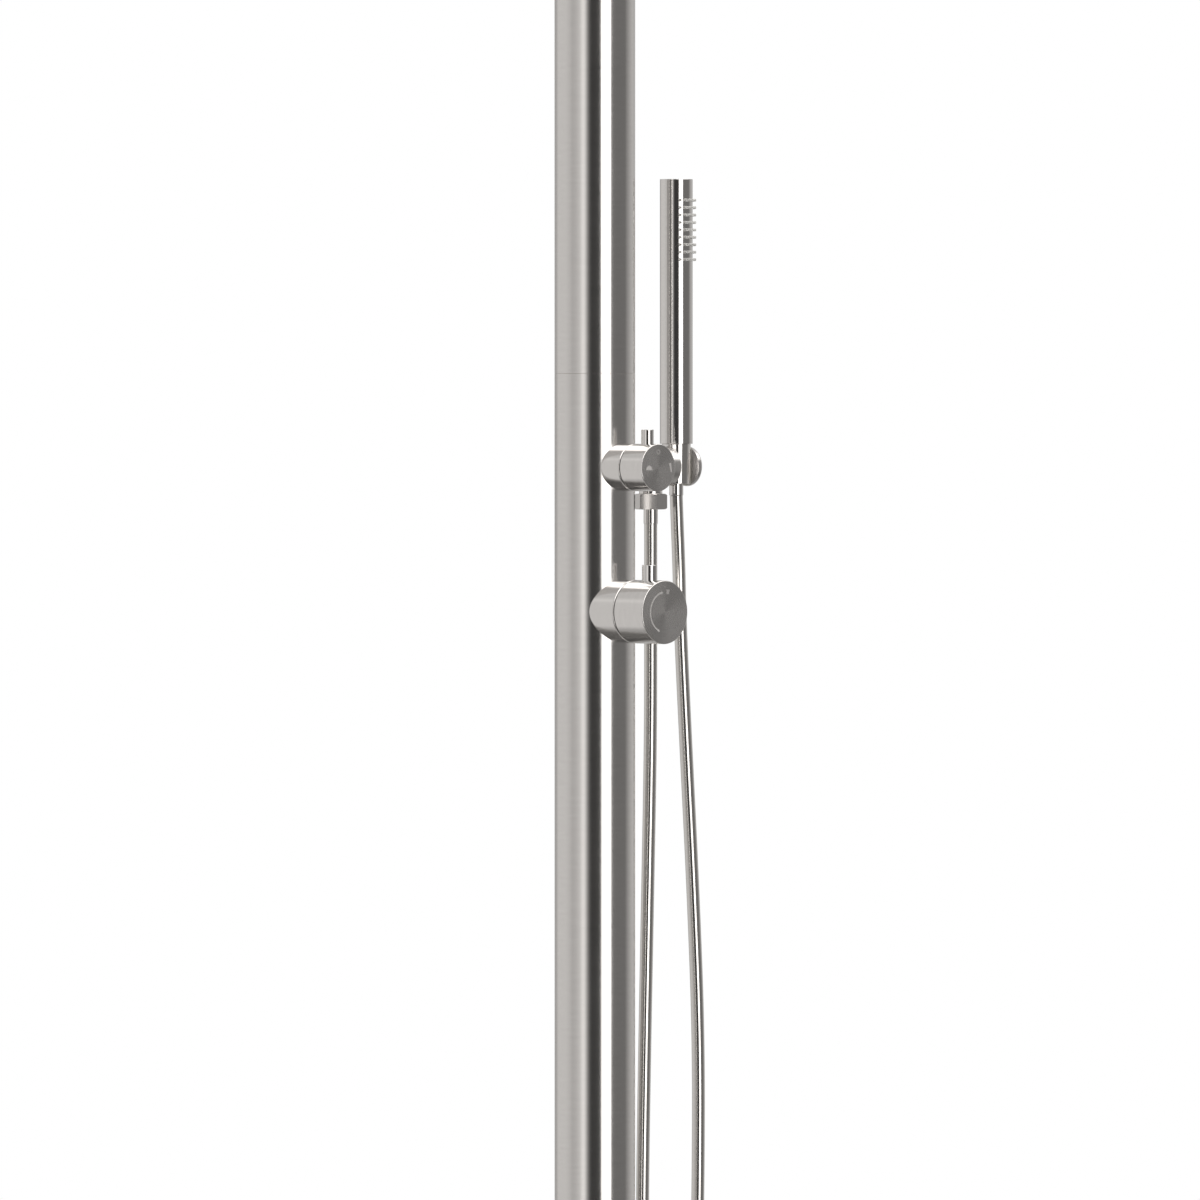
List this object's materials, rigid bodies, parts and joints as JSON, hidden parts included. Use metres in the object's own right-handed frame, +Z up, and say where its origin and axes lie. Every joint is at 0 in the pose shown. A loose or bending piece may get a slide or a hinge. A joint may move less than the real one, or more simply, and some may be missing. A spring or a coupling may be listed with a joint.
{
  "type": "outdoor shower post",
  "caption": "Free-standing outdoor shower post: steel column with mixer and diverter knobs, a stick handset on a hanging hose in a side holder, and a tilting rain head.",
  "frame": {"origin": "middle of the base plate's underside, on the floor, on the column's axis", "axes": "+Z up along the column; knobs and rain arm face -Y, where the bather stands; the side bar with the handset points to +X"},
  "size_m": [0.2639, 0.6075, 2.183],
  "materials": {
    "brushed_steel": "brushed stainless steel, fine grain round the tubes and in circles on the knob faces",
    "polished_steel": "polished stainless steel",
    "pipe_steel": "drawn stainless pipe",
    "fitting_brass": "machined brass",
    "seal_rubber": "black rubber seal",
    "dark_plastic": "dark grey acetal",
    "hose_cover": "smooth metallised hose cover",
    "nozzle_silicone": "light grey silicone",
    "cartridge_plastic": "off-white moulded plastic"
  },
  "bodies": {
    "post": {"base_plate": "brushed_steel", "base_cover": "brushed_steel", "cover_seal": "seal_rubber", "lower_column": "brushed_steel", "upper_column": "brushed_steel", "column_sleeve": "pipe_steel", "sleeve_screws": "polished_steel", "top_cap": "brushed_steel", "hot_inlet": "fitting_brass", "cold_inlet": "fitting_brass", "hot_pipe": "pipe_steel", "cold_pipe": "pipe_steel", "supply_spacer": "dark_plastic", "link_pipe": "pipe_steel", "riser_pipe": "pipe_steel", "riser_spacer": "dark_plastic", "mixer_body": "fitting_brass", "mixer_stub": "brushed_steel", "mixer_cartridge": "cartridge_plastic", "mixer_cartridge_ring": "fitting_brass", "mixer_trim_ring": "dark_plastic", "diverter_body": "fitting_brass", "diverter_stub": "brushed_steel", "diverter_cartridge": "cartridge_plastic", "diverter_cartridge_ring": "fitting_brass", "diverter_trim_ring": "dark_plastic", "side_bar": "brushed_steel", "side_nipple": "fitting_brass", "holder_liner": "cartridge_plastic", "outlet_nipple": "polished_steel", "hose_nut": "polished_steel", "outlet_ferrule": "polished_steel", "outlet_seal": "seal_rubber", "hose": "hose_cover", "arm_elbow": "fitting_brass", "rain_arm": "brushed_steel", "arm_collar": "brushed_steel", "ball_stem": "polished_steel"},
    "mixer_handle": {"mixer_knob": "brushed_steel", "mixer_grip": "polished_steel", "mixer_spindle": "fitting_brass"},
    "diverter_handle": {"diverter_knob": "brushed_steel", "diverter_grip": "polished_steel", "diverter_spindle": "fitting_brass"},
    "hose_end": {"hose_end_ferrule": "polished_steel"},
    "handset": {"cone_nut": "polished_steel", "handset_seal": "seal_rubber", "handset_inlet": "polished_steel", "handset_tube": "polished_steel", "handset_nozzles": "nozzle_silicone", "handset_cap": "polished_steel"},
    "ball_ring": {"friction_ring": "dark_plastic"},
    "rain_head": {"head_cup": "polished_steel", "ball_nut": "polished_steel", "head_shell": "brushed_steel", "head_plate": "brushed_steel", "head_nozzles": "nozzle_silicone"}
  },
  "joints": [
    {"name": "mixer_turn", "type": "hinge", "parent": "post", "child": "mixer_handle", "pos_m": [0, -0.0597, 1], "axis": [0, -1, 0], "range_deg": [0, 150]},
    {"name": "diverter_turn", "type": "hinge", "parent": "post", "child": "diverter_handle", "pos_m": [0, -0.0565, 1.1074], "axis": [0, -1, 0], "range_deg": [-90, 90]},
    {"name": "handset_lift", "type": "slide", "parent": "post", "child": "hose_end", "axis": [0, 0, 1], "range_m": [0, 0.06]},
    {"name": "handset_turn", "type": "hinge", "parent": "hose_end", "child": "handset", "pos_m": [0.0852, 0, 1.1074], "axis": [0, 0, 1], "continuous": true},
    {"name": "head_tilt", "type": "hinge", "parent": "post", "child": "ball_ring", "pos_m": [0, -0.37, 2.044], "axis": [1, 0, 0], "range_deg": [-12, 12]},
    {"name": "head_roll", "type": "hinge", "parent": "ball_ring", "child": "rain_head", "pos_m": [0, -0.37, 2.044], "axis": [0, 1, 0], "range_deg": [-12, 12]}
  ]
}
